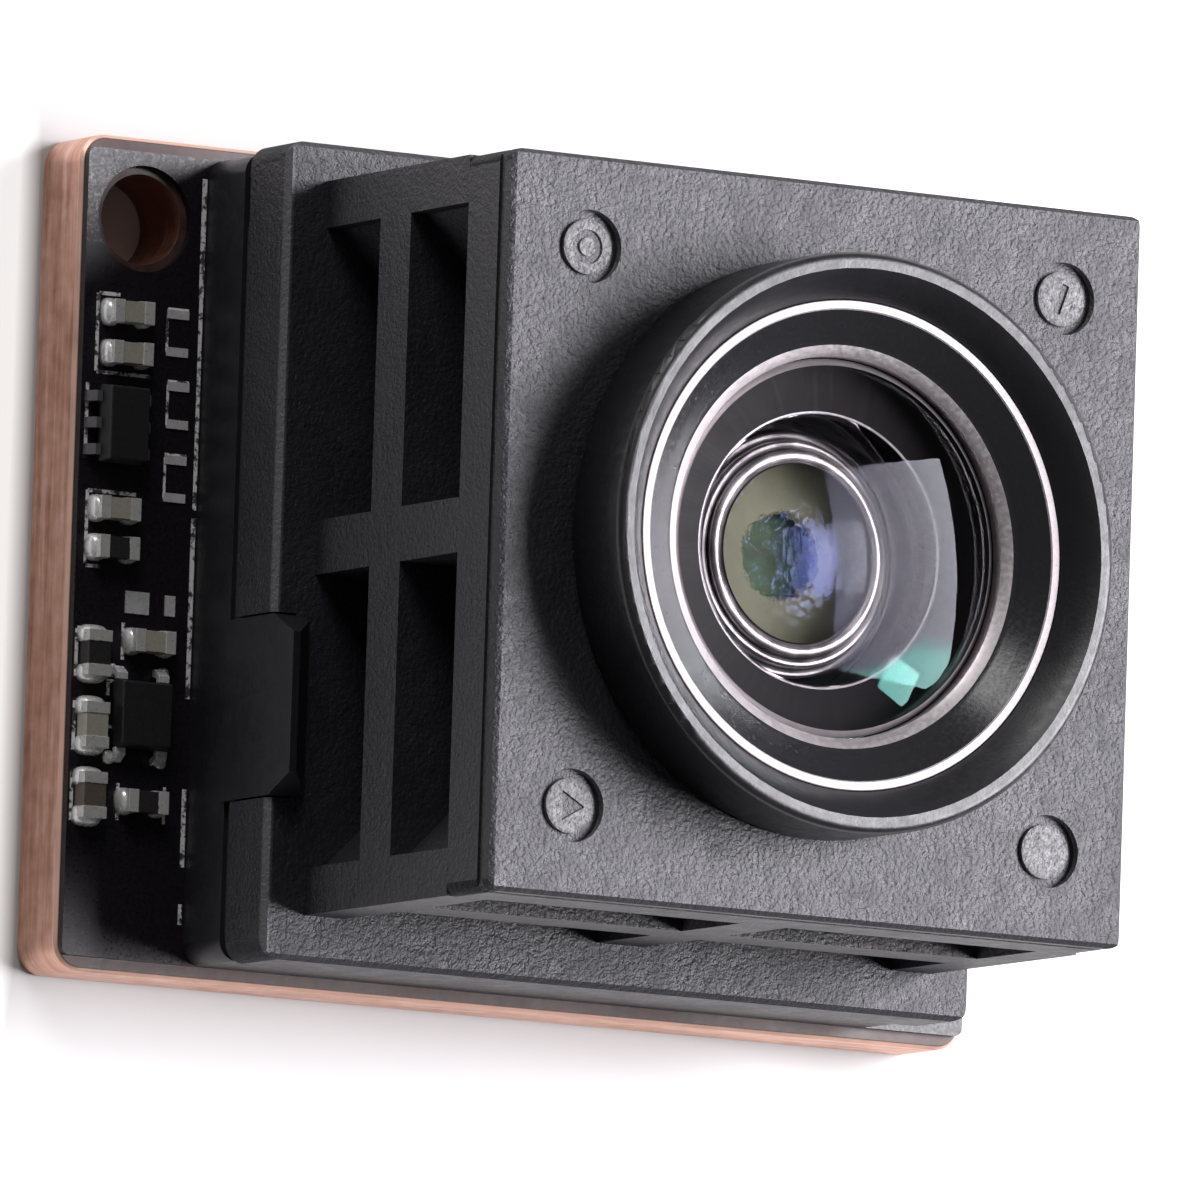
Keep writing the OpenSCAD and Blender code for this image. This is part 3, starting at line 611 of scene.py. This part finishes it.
def make_lens(black, bare, land):
    """The turned and ground pieces that show inside the barrel, finer than in the CAD model."""
    top, seat = RING_TOP_Z, RING_SEAT_Z
    lathe("front_ring_turned", [
        (4.6, seat, 1), (5.9, seat, 0), (5.9, top - 0.02, 2), (5.88, top, 2), (5.7, top, 2),
        (5.67, top - 0.03, 0),
        (5.32, top - 0.19, 0), (5.3, top - 0.21, 0), (5.02, top - 0.35, 0), (5.0, top - 0.37, 0),
        (4.86, top - 0.45, 1), (4.68, top - 0.53, 1), (4.6, top - 0.6, 1)],
        ("front_ring",), [black, bare, land])

    edge = plain("ground_edge", (0.25, 0.23, 0.24), 0.35, 0.6, grain=0.2)
    dark = plain("dark_face", (0.006, 0.004, 0.006), 0.5, grain=0.6, spread=0.5,
                 Specular_IOR_Level=0.12)
    glass = coated_glass("coated_glass", (0.93, 0.92, 0.94), (0.012, 0.012, 0.03),
                         rim_coating=(0.02, 0.2, 0.17))
    back = seat - GLASS_SEAT
    lathe("front_lens", [
        (3.1, back, 0), (5.6, back, 0), (5.6, seat, 0), (4.57, seat, 1), (4.5, seat + 0.09, 1),
        (4.4, seat + 0.15, 0)]
        + dome(4.3, seat + 0.2, 0.65, 26) + back_face(dome(3.1, back, 0.85, 22)),
        ("front_element",), [glass, edge])

    lathe("front_spacer_turned", [
        (3.4, back - SPACER_T, 0), (5.6, back - SPACER_T, 0), (5.6, back, 0), (3.17, back, 1),
        (3.12, back - 0.02, 0), (3.1, back - 0.06, 0)],
        ("front_spacer",), [dark, edge])

    dull = plain("ground_rim", (0.2, 0.185, 0.19), 0.36, 0.9, grain=0.8, depth=0.02, spread=0.9)
    low = back - SPACER_T - SECOND_GAP
    second = coated_glass("inner_glass", (0.86, 0.88, 0.8), (0.01, 0.03, 0.2), 1.75, 0.22, 0.02)
    lathe("second_lens", [
        (4.2, low - SECOND_T, 0), (4.2, low, 1), (3.2, low, 1)]
        + bead(2.99, low + 0.12, 0.1, 0.12, 2) + bead(2.74, low + 0.22, 0.12, 0.16, 2)
        + bead(2.46, low + 0.38, 0.13, 0.1, 2) + [(2.28, low + 0.44, 1)]
        + dome(2.24, low + 0.46, 0.44, 16)
        + back_face(dome(2.2, low - SECOND_T, 0.4, 12)),
        ("second_element",), [second, dark, dull])

    olive = plain("stop_face", (0.07, 0.068, 0.055), 0.6, grain=0.5, spread=0.3,
                  Specular_IOR_Level=0.08)
    stop = low - SECOND_T
    lathe("stop_blade", [
        (1.0, stop - STOP_T, 0), (4.2, stop - STOP_T, 0), (4.2, stop, 0), (1.05, stop, 0),
        (1.0, stop - 0.04, 0)],
        ("aperture_stop",), [olive])

    # The third lens as an opaque dark green face, with blue patches and pale specks painted on as
    # coating reflections and glints.
    look = Shader("deep_glass", Roughness=0.2, Specular_IOR_Level=0.05)
    tone_and_painted_glints = look.noise(0.35, 3, roughness=0.7)
    look.set("Base Color", look.ramp(
        tone_and_painted_glints, (0.42, (0.006, 0.014, 0.007)), (0.58, (0.014, 0.035, 0.018)),
        (0.66, (0.05, 0.06, 0.2)), (0.76, (0.5, 0.55, 0.6))))
    look.bump(tone_and_painted_glints, 0.01)
    third = stop - STOP_T
    lathe("third_lens", [
        (3.0, third - 1.5, 0), (4.2, third - 1.5, 0), (4.2, third, 0)] + dome(2.2, third, -0.3, 12)
          + [(0.0, third - 1.95, 0), (1.5, third - 1.85, 0)],
          ("third_element",), [look.material])


# ---------------------------------------------------------------- CAD nodes

WELD_WITHIN = 0.000001  # in metres
FLAT = math.radians(0.5)
BEVEL_FROM = math.radians(35)


def dress(node, material, bevel=0.0):
    """Gives a CAD node its material, and rounds its edges by bevel millimetres."""
    piece = NODES[node]
    piece.data.materials.clear()
    piece.data.materials.append(material)
    if bevel:
        weld = piece.modifiers.new("weld", "WELD")
        weld.merge_threshold = WELD_WITHIN
        flat = piece.modifiers.new("flat", "DECIMATE")
        flat.decimate_type = "DISSOLVE"
        flat.angle_limit = FLAT
        edge = piece.modifiers.new("bevel", "BEVEL")
        edge.width = bevel * MM
        edge.segments = 2
        edge.limit_method = "ANGLE"
        edge.angle_limit = BEVEL_FROM
        edge.harden_normals = True


# ---------------------------------------------------------------- the scene

random.seed(7)
make_camera()
make_stage()
make_lights()

frame_look = moulded_plastic("frame_plastic", (0.008, 0.008, 0.01), (0.02, 0.02, 0.024),
                             grain=0.08, depth=0.004, roughness=0.42).material
barrel_look = moulded_plastic("barrel_black", (0.006, 0.006, 0.008), (0.014, 0.014, 0.017),
                              grain=0.07, depth=0.004, roughness=0.36).material
black_look = plain("inner_black", (0.012, 0.012, 0.014), 0.22)
bare_look = plain("bare_ring", (0.5, 0.46, 0.47), 0.45, 1.0, grain=0.12, depth=0.006)
steel_look = plain("screw_steel", (0.62, 0.62, 0.6), 0.32, 1.0)
solder_look = plain("solder", (0.86, 0.86, 0.85), 0.3, 0.45, grain=0.2, depth=0.01)
dress("copper_base_plate", copper(), 0.05)
dress("circuit_board", board_mask())
dress("rear_frame", frame_look, 0.08)
dress("lens_holder", holder_plastic(), 0.04)
dress("lens_barrel", barrel_look, 0.03)
dress("sealing_gasket", plain("gasket_foam", (0.01, 0.01, 0.011), 0.75, grain=0.15,
                              depth=0.02))
for name in ("rear_spacer", "rear_ring"):
    dress(name, black_look)
dress("rear_element", coated_glass("rear_glass", (0.9, 0.93, 0.92), (0.3, 0.4, 0.4)))
dress("infrared_filter", plain("filter_glass", (0.12, 0.2, 0.24), 0.12))
dress("sensor_package", plain("sensor_ceramic", (0.33, 0.31, 0.27), 0.5))
dress("sensor_die", plain("silicon", (0.06, 0.07, 0.1), 0.2, 0.6))
dress("sensor_cover_glass", coated_glass("cover_glass", (0.92, 0.94, 0.93), (0.3, 0.4, 0.4)))
dress("board_connector", plain("connector_plastic", (0.62, 0.58, 0.48), 0.45), 0.05)
dress("connector_contacts", plain("gold_contact", (0.85, 0.62, 0.25), 0.25, 1.0), 0.02)
dress("corner_screws", steel_look, 0.05)
dress("solder_pads", solder_look)
chip_black = plain("chip_plastic", (0.016, 0.016, 0.018), 0.42, grain=0.07, depth=0.006)
dress("regulator_package", chip_black, 0.04)
dress("driver_package", chip_black, 0.04)
dress("regulator_leads", plain("dull_lead", (0.12, 0.115, 0.12), 0.45, 0.3), 0.02)
dress("driver_leads", solder_look, 0.02)
BEIGE, BROWN, DARK = (0.42, 0.4, 0.33), (0.14, 0.11, 0.09), (0.03, 0.027, 0.027)
for name, middle in zip(sorted(n for n in NODES if n.startswith("chip_capacitor")),
                        (BEIGE, BEIGE, BEIGE, DARK, BEIGE, DARK, DARK, BEIGE, BROWN)):
    dress(name, chip_finish(name + "_look", name, middle), 0.05)

land_look = plain("ring_land", (0.42, 0.39, 0.4), 0.68, 1.0, grain=0.09, depth=0.012, spread=0.35)
make_lens(black_look, bare_look, land_look)
solder_fillets(solder_look)
board_print(silk_print())

bpy.context.scene.view_settings.view_transform = "Standard"
